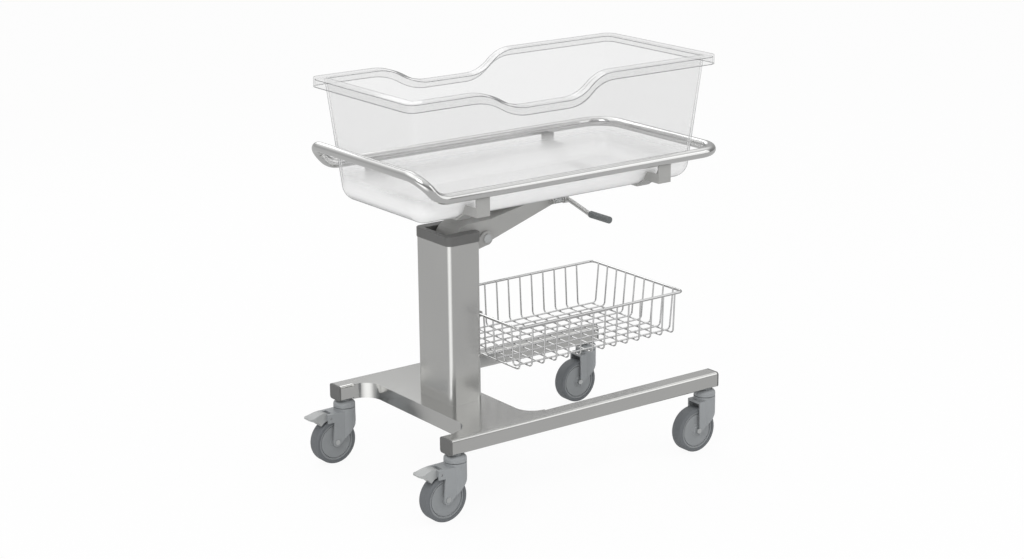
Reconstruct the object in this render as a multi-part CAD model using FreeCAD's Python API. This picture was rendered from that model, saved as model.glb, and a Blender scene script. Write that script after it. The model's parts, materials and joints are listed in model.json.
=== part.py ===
"""Hospital bassinet: a clear tub in a tilting tube cradle, on a column and a wheeled base.

Lengths are millimetres. X runs from the foot end to the head end, Y across, Z up from the floor.
While the pieces are made, x = 0 is the middle of the base. They are written about the middle of
the whole bassinet, so that the origin lies under the centre of its box.
"""
import FreeCAD, Part
import math
import os

V = FreeCAD.Vector

# ---- base ----
base_length = 718.0
base_width = 466.0
bar_width = 40.0
bar_height = 34.0
bar_underside = 141.0
bar_wall = 2.0
bar_edge_radius = 6.0
plate_foot_inset = 78.0
plate_head_x = -135.0
plate_sheet = 3.0
notch_radius = 42.0
end_cap_thickness = 4.0
end_cap_plug = 7.0

# ---- column ----
column_x = -198.5
column_depth = 83.0
column_width = 125.0
column_height = 349.0
column_wall = 3.0
column_corner = 13.0
column_cap_height = 21.0
column_cap_lip = 1.5
column_cap_plug = 12.0
column_cap_edge = 1.5
cap_opening_reach = 30.0
arm_slot_depth = 28.0
arm_slot_clearance = 1.2

# ---- tilt pivot and arm ----
pivot_reach = 28.5
pivot_drop = 2.5
pivot_pin_radius = 7.0
pivot_head_radius = 9.5
pivot_head_length = 3.0
ear_radius = 15.0
ear_thickness = 6.0
ear_root_height = 24.0
ear_top_drop = 2.0
ear_clearance = 0.2
bush_wall = 2.0
bush_flange = 1.8
bush_flange_radius = 12.0
arm_half_width = 36.0
arm_sheet = 4.0
arm_eye_radius = 13.0
arm_web_back = 81.0
arm_tail_drop = 17.0
arm_bend_radius = 44.0
arm_shoulder_rise = 36.5
arm_knee_forward = 15.5
arm_knee_rise = 38.0
arm_weld_forward = 168.5
arm_tip_forward = 192.5
arm_tip_depth = 19.0
arm_tip_slant = 3.0
arm_throat_inset = 14.5
arm_throat_end = 7.0
arm_slot_run = 2.0

# ---- lockable gas spring inside the column ----
spring_offset = 7.0
spring_seat_height = 80.0
spring_seat_thickness = 4.0
spring_radius = 11.0
spring_bore = 9.0
spring_length = 200.0
spring_end_wall = 8.0
spring_rod_radius = 4.0
piston_length = 10.0
drive_pin_radius = 4.0
rod_end_depth = 16.0
rod_end_width = 20.0
rod_end_rise = 8.0
rod_end_drop = 15.0
rod_end_socket = 6.0
drive_pin_overhang = 2.0

# ---- cradle under the tub ----
tub_bottom = 605.0
support_strap = 4.0
beam_depth = 12.0
beam_sheet = 3.0
cross_member_width = 33.0
foot_member_x = -252.5
head_member_x = 220.0
member_curve_share = 0.6
member_rise_gap = 8.0
member_outer_z = 620.0
member_flange_rise = 20.0
member_flange_sheet = 2.5
member_flange_lean = 10.0
member_flange_set = 4.0

# ---- rail loop and push handle ----
tube_radius = 11.0
tube_wall = 1.5
rail_half_width = 205.0
rail_z = 670.0
rail_head_x = 383.0
rail_corner_radius = 60.0
rail_joint_x = -328.0
handle_bend_x = -358.0
handle_bend_radius = 48.0
handle_rise_deg = 48.0
handle_slope_length = 66.0
handle_corner_radius = 40.0

# ---- tub ----
rim_foot_x = -411.0
rim_head_x = 384.0
rim_half_width = 187.0
rim_foot_z = 866.0
rim_dip_z = 828.0
rim_head_z = 874.0
rim_corner_radius = 22.0
rim_flange_width = 18.0
rim_flange_thickness = 4.0
rim_skirt_height = 20.0
rim_skirt_thickness = 3.0
dip_foot_start_x = -257.0
dip_foot_end_x = -121.0
dip_head_start_x = -18.0
dip_head_end_x = 100.0
tub_wall = 4.0
side_draft_deg = 3.0
end_draft_deg = 4.5
tub_corner_low = 40.0
tub_corner_high = 14.0
tub_floor_radius = 36.0

# ---- release lever ----
lever_x = 76.0
lever_shaft_radius = 4.0
lever_axis_out = 12.0
lever_axis_drop = 13.0
lever_hub_radius = 8.0
lever_hub_length = 12.0
lever_rod_radius = 5.0
lever_neck = 18.0
lever_bend_reach = 83.0
lever_reach = 153.0
lever_drop = 16.0
grip_radius = 7.5
grip_length = 66.0
lever_ear = 4.0
lever_ear_gap = 22.0
lever_plate = 3.0
lever_spring_wire = 0.7
lever_spring_turns = 8
lever_bend_radius = 30.0
lever_rod_end = 4.0
grip_edge = 2.0
lever_ear_half = 6.0
lever_gusset_run = 22.0
lever_bracket_drop = 2.0

# ---- wire basket ----
basket_rim_z = 352.0
basket_floor_z = 258.0
basket_foot_x = -137.0
basket_head_x = 315.0
basket_half_width = 160.0
basket_rim_radius = 3.0
basket_rim_corner = 12.0
basket_wire_radius = 1.75
basket_wire_bend = 9.0
basket_side_slope = 5.0
basket_end_slope = 9.0
side_wire_count = 14
side_wire_first_x = -125.0
side_wire_last_x = 296.0
end_wire_count = 9
end_wire_pitch = 33.0
weld_gap = 0.05
hanger_y = 16.5
hanger_width = 12.0
hanger_sheet = 4.0
hanger_lip = 7.0
hanger_wire_gap = 2.0
hanger_toe_rise = 2.0
basket_joint_run = 4.0
wire_top_rise = 1.0
screw_radius = 3.0
screw_head_radius = 5.5
screw_head_height = 3.5
screw_tip = 4.0
screw_drops = (30.0, 62.0)

# ---- casters ----
wheel_radius = 50.0
tyre_width = 30.0
tyre_depth = 8.0
tyre_shoulder = 4.0
hub_width = 27.0
hub_rim_depth = 3.5
hub_groove_width = 2.4
hub_groove_depth = 2.5
hub_face_set = 0.8
hub_boss_radius = 13.0
hub_draft = 1.5
bearing_radius = 9.5
bearing_width = 8.0
bearing_lip = 1.0
axle_radius = 5.0
axle_head_radius = 5.6
axle_head_length = 1.6
caster_trail = 32.0
stem_inset = 23.2
swivel_radius = 24.0
swivel_bottom = 123.5
swivel_side = 6.0
swivel_neck_radius = 13.0
swivel_neck = 4.0
stem_radius = 6.0
stem_top = 158.0
nut_height = 9.0
nut_radius = 10.4
fork_top = 122.0
swivel_race_inset = 3.0
crown_bottom = 108.0
fork_half_width = 20.5
fork_leg = 4.0
fork_back_wall = 3.5
fork_eye_radius = 10.0
king_head_radius = 10.0
king_head_height = 3.0
pocket_reach = 57.0
pocket_top = 103.5
hood_inner = 13.0
hood_bottom = 110.5
hood_top = 115.5
pedal_axis_back = 47.0
pedal_axis_z = 107.0
pedal_tip_back = 97.0
pedal_half_width = 11.5
pedal_pin_radius = 2.5
pedal_edge_rise = 6.5
pedal_edge_thickness = 3.0
pedal_root = 6.0
pedal_root_gap = 1.2
# the pedal's side view as (outward, up) from its pivot
pedal_upper = ((-pedal_root, -5.0), (-pedal_root, 5.0), (0.0, 8.5), (12.0, 14.0), (24.0, 12.0), (40.0, 7.0))
pedal_under = ((38.0, -1.0), (28.0, -6.5), (21.0, -15.0), (13.0, -9.0), (4.0, -6.5))
fork_skirt_back = 38.0
fork_plain_back = 30.0
fork_plain_z = 108.0
fork_skirt_z = 90.0
fork_waist_x = 2.0
fork_waist_z = 69.0
fork_chin_x = 8.0
fork_arm_top = 117.0
fork_arm_low = 97.0
pedal_arm_reach = 7.0
pedal_lug = 7.5
pedal_tip_half = 16.0
pedal_tip_round = 9.0

# ---- clearances ----
running_fit = 0.05
slide_gap = 0.3
slot_play = 0.45
press_gap = 0.02
over = 1.0

# ---- how finely turned outlines are stepped ----
facet_deg = 15
eye_end_deg = 330
web_steps = 10
dome_steps = 6
nut_sides = 6

# ---- derived places ----
quarter_turn = math.pi / 2
plate_foot_x = plate_foot_inset - base_length / 2
base_top = bar_underside + bar_height
bar_y = (base_width - bar_width) / 2
bar_end_x = base_length / 2 - end_cap_thickness
stem_x = base_length / 2 - stem_inset
pedal_reach = pedal_axis_back + pedal_arm_reach
column_top = base_top + column_height
cap_top = column_top + column_cap_height
column_foot_face = column_x - column_depth / 2
column_head_face = column_x + column_depth / 2
pivot_x = column_head_face + pivot_reach
pivot_z = column_top - pivot_drop
arm_slot_half = arm_half_width + bush_flange + arm_slot_clearance
ear_y = arm_half_width + bush_flange + ear_clearance
tub_floor_half = (rim_half_width - rim_flange_width
                  - (rim_head_z - tub_bottom) * math.tan(math.radians(side_draft_deg)))
member_flat_half = tub_floor_half - member_curve_share * tub_floor_radius
member_rise_half = tub_floor_half + member_rise_gap
member_bottom = tub_bottom - support_strap
beam_bottom = member_bottom - beam_depth
spring_x = column_x + spring_offset
arm_tip_x = pivot_x + arm_tip_forward
lever_y = -(arm_half_width + lever_axis_out)
lever_z = beam_bottom - lever_axis_drop
handle_rise = math.radians(handle_rise_deg)
handle_x = handle_bend_x - handle_slope_length * math.cos(handle_rise)
handle_z = rail_z + handle_slope_length * math.sin(handle_rise)
reach_foot = -(stem_x + pedal_tip_back)
reach_head = rail_head_x + tube_radius
middle_x = (reach_foot + reach_head) / 2


# ---- shape helpers ----
def box(x0, x1, y0, y1, z0, z1):
    return Part.makeBox(x1 - x0, y1 - y0, z1 - z0, V(x0, y0, z0))


def cylinder(radius, start, end):
    axis = end - start
    return Part.makeCylinder(radius, axis.Length, start, axis)


def prism(points, start, end):
    """A polygon swept from start to end, whose points already lie in the plane through start."""
    face = Part.Face(Part.makePolygon(points + [points[0]]))
    return face.extrude(end - start)


def prism_along_y(outline, y0, y1):
    return prism([V(x, y0, z) for x, z in outline], V(0, y0, 0), V(0, y1, 0))


def prism_along_x(outline, x0, x1):
    return prism([V(x0, y, z) for y, z in outline], V(x0, 0, 0), V(x1, 0, 0))


def fuse(shapes):
    result = shapes[0]
    for shape in shapes[1:]:
        result = result.fuse(shape)
    return result.removeSplitter()


def mirror_y(shape):
    return shape.mirror(V(0, 0, 0), V(0, 1, 0))


def both_sides(shape):
    return [shape, mirror_y(shape)]


def rounded_rectangle(x0, x1, y0, y1, radius, z):
    """A closed wire in a level plane, with four rounded corners."""
    cut = radius * (1 - math.sqrt(0.5))
    corners = [
        (V(x1 - radius, y0, z), V(x1 - cut, y0 + cut, z), V(x1, y0 + radius, z)),
        (V(x1, y1 - radius, z), V(x1 - cut, y1 - cut, z), V(x1 - radius, y1, z)),
        (V(x0 + radius, y1, z), V(x0 + cut, y1 - cut, z), V(x0, y1 - radius, z)),
        (V(x0, y0 + radius, z), V(x0 + cut, y0 + cut, z), V(x0 + radius, y0, z)),
    ]
    edges = []
    for index, (start, middle, end) in enumerate(corners):
        edges.append(Part.Arc(start, middle, end).toShape())
        edges.append(Part.makeLine(end, corners[(index + 1) % len(corners)][0]))
    return Part.Wire(edges)


def rounded_block(x0, x1, y0, y1, z0, z1, radius):
    return Part.Face(rounded_rectangle(x0, x1, y0, y1, radius, z0)).extrude(V(0, 0, z1 - z0))


def route(points, radii):
    """Straight runs joined by tangent arcs, one radius for each inner point."""
    edges = []
    start = points[0]
    for before, corner, after, radius in zip(points, points[1:], points[2:], radii):
        back = (before - corner).normalize()
        on = (after - corner).normalize()
        half_turn = (math.pi - back.getAngle(on)) / 2
        run = radius * math.tan(half_turn)
        arc_start = corner + back * run
        arc_end = corner + on * run
        inward = (back + on).normalize()
        centre = corner + inward * (radius / math.cos(half_turn))
        if (arc_start - start).Length > 1e-6:
            edges.append(Part.makeLine(start, arc_start))
        edges.append(Part.Arc(arc_start, centre - inward * radius, arc_end).toShape())
        start = arc_end
    edges.append(Part.makeLine(start, points[-1]))
    return Part.Wire(edges)


def rod_along(points, radii, radius):
    """A round bar along a route."""
    path = route(points, radii)
    profile = Part.Wire(Part.makeCircle(radius, points[0], points[1] - points[0]))
    return path.makePipeShell([profile], True, False)


def tube_along(points, radii, radius, wall):
    return rod_along(points, radii, radius).cut(rod_along(points, radii, radius - wall))


# ---- base ----
def bar_profile(side, inset, x0, x1):
    """One bar of the base, or its bore when inset is the wall."""
    half = bar_width / 2 - inset
    y = side * bar_y
    block = box(x0, x1, y - half, y + half, bar_underside + inset, base_top - inset)
    long_edges = [edge for edge in block.Edges if edge.BoundBox.XLength > over]
    return block.makeFillet(bar_edge_radius - inset, long_edges)


def notch_corner(x, direction, side):
    """The curved corner where the centre plate runs into a bar."""
    inner = side * (base_width / 2 - bar_width)
    reach_x = x + direction * notch_radius
    reach_y = inner - side * notch_radius
    lap = inner + side * bar_edge_radius
    block = box(min(x, reach_x), max(x, reach_x), min(lap, reach_y), max(lap, reach_y),
                bar_underside, base_top)
    return block.cut(cylinder(notch_radius, V(reach_x, reach_y, bar_underside - over),
                              V(reach_x, reach_y, base_top + over)))


def base_frame():
    plate_half = base_width / 2 - bar_width
    lap = plate_half + bar_edge_radius
    parts = [box(plate_foot_x, plate_head_x, -lap, lap, bar_underside, base_top)]
    for side in (-1, 1):
        parts.append(bar_profile(side, 0, -bar_end_x, bar_end_x))
        parts.append(notch_corner(plate_foot_x, -1, side))
        parts.append(notch_corner(plate_head_x, 1, side))
    frame = fuse(parts)
    for side in (-1, 1):
        frame = frame.cut(bar_profile(side, bar_wall, -bar_end_x - over, bar_end_x + over))
        for end in (-1, 1):
            frame = frame.cut(cylinder(stem_radius + slide_gap,
                                       V(end * stem_x, side * bar_y, bar_underside - over),
                                       V(end * stem_x, side * bar_y, bar_underside + bar_wall + over)))
    pocket = box(plate_foot_x + plate_sheet, plate_head_x - plate_sheet,
                 -plate_half + plate_sheet, plate_half - plate_sheet,
                 bar_underside - over, base_top - plate_sheet)
    return frame.cut(pocket)


def bar_end_caps():
    caps = []
    for side in (-1, 1):
        for end in (-1, 1):
            face = bar_profile(side, 0, bar_end_x, bar_end_x + end_cap_thickness)
            plug = bar_profile(side, bar_wall + slide_gap, bar_end_x - end_cap_plug, bar_end_x + over)
            cap = fuse([face, plug])
            if end < 0:
                cap = cap.mirror(V(0, 0, 0), V(1, 0, 0))
            caps.append(cap)
    return Part.makeCompound(caps)


# ---- column ----
def column_block(grow, z0, z1):
    return rounded_block(column_foot_face - grow, column_head_face + grow,
                         -column_width / 2 - grow, column_width / 2 + grow,
                         z0, z1, column_corner + grow)


def arm_slot(z0, z1):
    """The space in the column's head side that the arm swings through."""
    return box(column_x, column_head_face + column_cap_lip + over, -arm_slot_half, arm_slot_half, z0, z1)


def column_tube():
    bore = column_block(-column_wall, base_top - over, column_top + over)
    tube = column_block(0, base_top, column_top).cut(bore)
    return tube.cut(arm_slot(column_top - arm_slot_depth, column_top + over))


def column_cap():
    cap = column_block(column_cap_lip, column_top, cap_top)
    top_edges = [edge for edge in cap.Edges if edge.BoundBox.ZMin > cap_top - over]
    cap = cap.makeFillet(column_cap_edge, top_edges)
    plug = column_block(-column_wall - slide_gap, column_top - column_cap_plug, column_top + over)
    cap = fuse([cap, plug])
    low = column_top - column_cap_plug - over
    opening = box(column_x - cap_opening_reach, column_x + over, -arm_slot_half, arm_slot_half,
                  low, cap_top + over)
    return cap.cut(opening).cut(arm_slot(low, cap_top + over))


def pivot_ears():
    """Two ears welded to the column's head face, one on each side of the arm's slot."""
    outer = ear_y + ear_thickness
    outline = [(column_head_face, column_top - ear_root_height),
               (column_head_face, column_top - ear_top_drop),
               (pivot_x, pivot_z + ear_radius), (pivot_x, pivot_z - ear_radius)]
    plate = prism_along_y(outline, ear_y, outer)
    nose = cylinder(ear_radius, V(pivot_x, ear_y, pivot_z), V(pivot_x, outer, pivot_z))
    bore = cylinder(pivot_pin_radius + press_gap, V(pivot_x, ear_y - over, pivot_z),
                    V(pivot_x, outer + over, pivot_z))
    return Part.makeCompound(both_sides(fuse([plate, nose]).cut(bore)))


def pivot_pin():
    half = ear_y + ear_thickness
    pin = cylinder(pivot_pin_radius, V(pivot_x, -half, pivot_z), V(pivot_x, half, pivot_z))
    heads = [cylinder(pivot_head_radius, V(pivot_x, side * half, pivot_z),
                      V(pivot_x, side * (half + pivot_head_length), pivot_z)) for side in (-1, 1)]
    return fuse([pin] + heads)


def pivot_bushes():
    """Flanged bushes pressed into the arm's two cheeks."""
    inner = arm_half_width - arm_sheet
    sleeve = cylinder(pivot_pin_radius + bush_wall, V(pivot_x, inner, pivot_z),
                      V(pivot_x, arm_half_width, pivot_z))
    flange = cylinder(bush_flange_radius, V(pivot_x, arm_half_width, pivot_z),
                      V(pivot_x, arm_half_width + bush_flange, pivot_z))
    bore = cylinder(pivot_pin_radius + running_fit, V(pivot_x, 0, pivot_z),
                    V(pivot_x, column_width, pivot_z))
    return Part.makeCompound(both_sides(fuse([sleeve, flange]).cut(bore)))


# ---- tilting arm ----
def arm_outline(sheet):
    """The arm seen from the side; sheet moves its web and top inward for the inside of the channel."""
    web_x = pivot_x - arm_web_back + sheet
    radius = arm_bend_radius - sheet
    bend_x = web_x + radius
    shoulder_z = pivot_z + arm_shoulder_rise - sheet
    bend_z = shoulder_z - radius
    turns = [step * quarter_turn / web_steps for step in range(web_steps + 1)]
    web = [(bend_x - radius * math.cos(turn), bend_z + radius * math.sin(turn)) for turn in turns]
    top = [(pivot_x + arm_knee_forward, pivot_z + arm_knee_rise - sheet),
           (pivot_x + arm_weld_forward, beam_bottom - sheet),
           (arm_tip_x, beam_bottom - sheet)]
    return web, top


def arm_profile():
    web, top = arm_outline(0)
    tail_z = pivot_z - arm_tail_drop
    tip_low = (arm_tip_x - arm_tip_slant, beam_bottom - arm_tip_depth)
    # the lower edge leaves the tip and touches the circle round the pivot
    run_x = tip_low[0] - pivot_x
    run_z = tip_low[1] - pivot_z
    lean = math.atan2(run_z, run_x) - math.acos(arm_eye_radius / math.hypot(run_x, run_z))
    eye_x = pivot_x + arm_eye_radius * math.cos(lean)
    eye_z = pivot_z + arm_eye_radius * math.sin(lean)
    under = [tip_low, (eye_x, eye_z), (pivot_x, pivot_z - arm_eye_radius),
             (column_head_face - arm_throat_inset, pivot_z - arm_eye_radius),
             (column_x + arm_throat_end, tail_z), (pivot_x - arm_web_back, tail_z)]
    return web + top + under


def tilt_arm():
    """A folded channel: two cheeks and a curved web that dips into the column."""
    body = prism_along_y(arm_profile(), -arm_half_width, arm_half_width)
    body = body.fuse(cylinder(arm_eye_radius, V(pivot_x, -arm_half_width, pivot_z),
                              V(pivot_x, arm_half_width, pivot_z))).removeSplitter()
    web, top = arm_outline(arm_sheet)
    low = pivot_z - arm_tip_forward
    past_tip = arm_tip_x + arm_sheet
    inside = web + top + [(past_tip, top[-1][1]), (past_tip, low), (web[0][0], low)]
    half = arm_half_width - arm_sheet
    body = body.cut(prism_along_y(inside, -half, half))
    bore = cylinder(pivot_pin_radius + bush_wall, V(pivot_x, -column_width, pivot_z),
                    V(pivot_x, column_width, pivot_z))
    return body.cut(bore).cut(drive_slot())


def drive_slot():
    """The level slots in the arm's tail that the drive pin works in."""
    half_z = drive_pin_radius + slot_play
    half_x = half_z + arm_slot_run
    return box(spring_x - half_x, spring_x + half_x, -column_width, column_width,
               pivot_z - half_z, pivot_z + half_z)


# ---- gas spring ----
def spring_seat():
    top = base_top + spring_seat_height
    return column_block(-column_wall - press_gap, top - spring_seat_thickness, top)


def gas_spring_cylinder():
    bottom = base_top + spring_seat_height
    top = bottom + spring_length
    body = cylinder(spring_radius, V(spring_x, 0, bottom), V(spring_x, 0, top))
    bore = cylinder(spring_bore, V(spring_x, 0, bottom + spring_end_wall),
                    V(spring_x, 0, top - spring_end_wall))
    gland = cylinder(spring_rod_radius + running_fit, V(spring_x, 0, bottom + spring_end_wall + over),
                     V(spring_x, 0, top + over))
    return body.cut(bore).cut(gland)


def gas_spring_rod():
    middle = base_top + spring_seat_height + spring_length / 2
    piston = cylinder(spring_bore - running_fit, V(spring_x, 0, middle - piston_length),
                      V(spring_x, 0, middle))
    rod = cylinder(spring_rod_radius, V(spring_x, 0, middle - over),
                   V(spring_x, 0, pivot_z - rod_end_drop + rod_end_socket))
    return fuse([piston, rod])


def rod_end():
    """The block on the rod's tip, with the drive pin through it."""
    low = pivot_z - rod_end_drop
    block = box(spring_x - rod_end_depth / 2, spring_x + rod_end_depth / 2,
                -rod_end_width / 2, rod_end_width / 2, low, pivot_z + rod_end_rise)
    socket = cylinder(spring_rod_radius + press_gap, V(spring_x, 0, low - over),
                      V(spring_x, 0, low + rod_end_socket))
    half = arm_half_width + drive_pin_overhang
    pin = cylinder(drive_pin_radius, V(spring_x, -half, pivot_z), V(spring_x, half, pivot_z))
    return fuse([block.cut(socket), pin])


# ---- cradle ----
def cradle_beam():
    x0 = foot_member_x - cross_member_width / 2
    x1 = head_member_x + cross_member_width / 2
    outer = box(x0, x1, -arm_half_width, arm_half_width, beam_bottom, member_bottom)
    inner = box(x0 - over, x1 + over, -arm_half_width + beam_sheet, arm_half_width - beam_sheet,
                beam_bottom - over, member_bottom - beam_sheet)
    return outer.cut(inner)


def cross_member(x):
    """A folded strap from rail to rail that dips under the tub, with a flange along each edge."""
    x0 = x - cross_member_width / 2
    x1 = x + cross_member_width / 2
    outer_y = rail_half_width + support_strap / 2
    top_z = rail_z - tube_radius
    under = [(-outer_y, top_z), (-outer_y, member_outer_z), (-member_rise_half - over, member_outer_z),
             (-member_flat_half - over, member_bottom), (member_flat_half + over, member_bottom),
             (member_rise_half + over, member_outer_z), (outer_y, member_outer_z), (outer_y, top_z)]
    inner_y = outer_y - support_strap
    upper = [(inner_y, top_z), (inner_y, member_outer_z + support_strap),
            (member_rise_half, member_outer_z + support_strap), (member_flat_half, tub_bottom),
            (-member_flat_half, tub_bottom), (-member_rise_half, member_outer_z + support_strap),
            (-inner_y, member_outer_z + support_strap), (-inner_y, top_z)]
    strap = prism_along_x(under + upper, x0, x1)
    flange_top = member_outer_z + member_flange_rise
    flange_y = member_rise_half + member_flange_set
    flange = [(inner_y + over, member_outer_z + over), (inner_y + over, flange_top),
              (flange_y, flange_top), (flange_y - member_flange_lean, member_outer_z + over)]
    parts = [strap]
    for edge in (x0, x1 - member_flange_sheet):
        parts += both_sides(prism_along_x(flange, edge, edge + member_flange_sheet))
    return fuse(parts)


def rail_loop():
    points = [V(rail_joint_x, -rail_half_width, rail_z), V(rail_head_x, -rail_half_width, rail_z),
              V(rail_head_x, rail_half_width, rail_z), V(rail_joint_x, rail_half_width, rail_z)]
    return tube_along(points, [rail_corner_radius] * 2, tube_radius, tube_wall)


def push_handle():
    """The raised bend at the foot end, welded to both ends of the rail loop."""
    points = [V(rail_joint_x, -rail_half_width, rail_z), V(handle_bend_x, -rail_half_width, rail_z),
              V(handle_x, -rail_half_width, handle_z), V(handle_x, rail_half_width, handle_z),
              V(handle_bend_x, rail_half_width, rail_z), V(rail_joint_x, rail_half_width, rail_z)]
    radii = [handle_bend_radius, handle_corner_radius, handle_corner_radius, handle_bend_radius]
    return tube_along(points, radii, tube_radius, tube_wall)


# ---- tub ----
def tub_section(z, inset):
    """The tub's walls cut level at height z; inset goes inward from their outer face."""
    drop = rim_head_z - z
    corner = tub_corner_high + (tub_corner_low - tub_corner_high) * drop / (rim_head_z - tub_bottom)
    side = rim_half_width - rim_flange_width - drop * math.tan(math.radians(side_draft_deg)) - inset
    end = drop * math.tan(math.radians(end_draft_deg)) + inset
    return rounded_rectangle(rim_foot_x + rim_flange_width + end, rim_head_x - rim_flange_width - end,
                             -side, side, corner - inset, z)


def tub_body(inset):
    low = tub_bottom + inset
    body = Part.makeLoft([tub_section(low, inset), tub_section(rim_head_z + over, inset)], True, True)
    floor_edges = [edge for edge in body.Edges if edge.BoundBox.ZMax < low + over]
    return body.makeFillet(tub_floor_radius - inset, floor_edges)


def s_curve(x0, z0, x1, z1):
    """Two arcs that leave and arrive level."""
    run = x1 - x0
    rise = z1 - z0
    radius = (run * run + rise * rise) / (4 * abs(rise))
    sweep = 2 * math.atan(abs(rise) / run)
    way = 1 if rise > 0 else -1

    def first(angle):
        return V(x0 + radius * math.sin(angle), 0, z0 + way * radius * (1 - math.cos(angle)))

    def second(angle):
        return V(x1 - radius * math.sin(angle), 0, z1 - way * radius * (1 - math.cos(angle)))

    return [Part.Arc(first(0), first(sweep / 2), first(sweep)).toShape(),
            Part.Arc(second(sweep), second(sweep / 2), second(0)).toShape()]


def above_rim(drop):
    """Everything higher than the rim's line, or than a line that drop below it."""
    foot = rim_foot_z - drop
    dip = rim_dip_z - drop
    head = rim_head_z - drop
    far = base_length
    edges = [Part.makeLine(V(-far, 0, foot), V(dip_foot_start_x, 0, foot))]
    edges += s_curve(dip_foot_start_x, foot, dip_foot_end_x, dip)
    edges += [Part.makeLine(V(dip_foot_end_x, 0, dip), V(dip_head_start_x, 0, dip))]
    edges += s_curve(dip_head_start_x, dip, dip_head_end_x, head)
    edges += [Part.makeLine(V(dip_head_end_x, 0, head), V(far, 0, head)),
              Part.makeLine(V(far, 0, head), V(far, 0, head + far)),
              Part.makeLine(V(far, 0, head + far), V(-far, 0, head + far)),
              Part.makeLine(V(-far, 0, head + far), V(-far, 0, foot))]
    face = Part.Face(Part.Wire(edges))
    face.translate(V(0, -far / 2, 0))
    return face.extrude(V(0, far, 0))


def rim_block(inset):
    low = rim_dip_z - rim_skirt_height - over
    half = rim_half_width - inset
    return rounded_block(rim_foot_x + inset, rim_head_x - inset, -half, half,
                         low, rim_head_z + over, rim_corner_radius - inset)


def tub():
    outer = tub_body(0)
    inner = tub_body(tub_wall)
    walls = outer.cut(inner).cut(above_rim(0))
    rim = rim_block(0).cut(above_rim(0)).common(above_rim(rim_skirt_height)).cut(inner)
    hollow = rim_block(rim_skirt_thickness).cut(above_rim(rim_flange_thickness)).cut(outer)
    return walls.fuse(rim.cut(hollow)).removeSplitter()


# ---- release lever ----
def lever_ears_x():
    """The low x of the two ears that carry the lever's shaft."""
    head_ear = lever_x - lever_hub_length / 2 - slide_gap - lever_ear
    return head_ear - lever_ear_gap - lever_ear, head_ear


def lever_bracket():
    """A plate welded along the arm and under the beam, with two ears for the lever's shaft."""
    back = -arm_half_width
    low = lever_z - lever_ear_half
    top = beam_bottom - lever_bracket_drop
    first, last = lever_ears_x()
    outline = [(first, low), (last + lever_ear, low), (last + lever_gusset_run, top), (first, top)]
    parts = [prism_along_y(outline, back - lever_plate, back)]
    for x in (first, last):
        parts.append(box(x, x + lever_ear, lever_y, back, low, lever_z + lever_ear_half))
        parts.append(cylinder(lever_ear_half, V(x, lever_y, lever_z), V(x + lever_ear, lever_y, lever_z)))
    bore = cylinder(lever_shaft_radius + running_fit, V(first - over, lever_y, lever_z),
                    V(last + lever_ear + over, lever_y, lever_z))
    return fuse(parts).cut(bore)


def release_lever():
    first = lever_ears_x()[0]
    hub_x0 = lever_x - lever_hub_length / 2
    hub_x1 = lever_x + lever_hub_length / 2
    shaft = cylinder(lever_shaft_radius, V(first - over, lever_y, lever_z), V(hub_x1, lever_y, lever_z))
    hub = cylinder(lever_hub_radius, V(hub_x0, lever_y, lever_z), V(hub_x1, lever_y, lever_z))
    rod = lever_rod(lever_rod_radius)
    return fuse([shaft, hub, rod])


def lever_rod(radius):
    """The cranked rod from the hub out to its end inside the grip."""
    low = lever_z - lever_drop
    points = [V(lever_x, lever_y, lever_z), V(lever_x, lever_y - lever_neck, lever_z),
              V(lever_x, lever_y - lever_bend_reach, low),
              V(lever_x, lever_y - lever_reach + lever_rod_end, low)]
    return rod_along(points, [lever_bend_radius, lever_bend_radius], radius)


def lever_grip():
    low = lever_z - lever_drop
    tip = V(lever_x, lever_y - lever_reach, low)
    grip = cylinder(grip_radius, tip + V(0, grip_length, 0), tip)
    ends = [edge for edge in grip.Edges if edge.BoundBox.YLength < over]
    grip = grip.makeFillet(grip_edge, ends)
    return grip.cut(lever_rod(lever_rod_radius + press_gap))


def lever_spring():
    """The torsion spring that brings the lever back."""
    first, last = lever_ears_x()
    radius = lever_shaft_radius + lever_spring_wire + 2 * slide_gap
    pitch = (lever_ear_gap - 4 * lever_spring_wire) / lever_spring_turns
    helix = Part.makeHelix(pitch, pitch * lever_spring_turns, radius)
    profile = Part.Wire(Part.makeCircle(lever_spring_wire, V(radius, 0, 0), V(0, 1, 0)))
    coil = Part.Wire(helix).makePipeShell([profile], True, True)
    coil.rotate(V(0, 0, 0), V(0, 1, 0), 90)
    coil.translate(V(first + lever_ear + 2 * lever_spring_wire, lever_y, lever_z))
    return coil


# ---- basket ----
def side_wire_places():
    pitch = (side_wire_last_x - side_wire_first_x) / (side_wire_count - 1)
    return [side_wire_first_x + pitch * index for index in range(side_wire_count)]


def end_wire_places():
    return [end_wire_pitch * (index - (end_wire_count - 1) / 2) for index in range(end_wire_count)]


wire_inset = basket_rim_radius + basket_wire_radius + weld_gap
side_floor_y = basket_half_width - wire_inset - basket_side_slope
foot_floor_x = basket_foot_x + wire_inset + basket_side_slope
head_floor_x = basket_head_x - wire_inset - basket_end_slope
long_floor_z = basket_floor_z + 2 * basket_wire_radius + weld_gap
floor_joint = basket_wire_bend + basket_joint_run
wire_top_z = basket_rim_z + wire_top_rise


def basket_rim():
    z = basket_rim_z
    wire = rounded_rectangle(basket_foot_x, basket_head_x, -basket_half_width, basket_half_width,
                             basket_rim_corner, z)
    start = V(basket_head_x - basket_rim_corner, -basket_half_width, z)
    profile = Part.Wire(Part.makeCircle(basket_rim_radius, start, V(1, 0, 0)))
    return wire.makePipeShell([profile], True, False)


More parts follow.
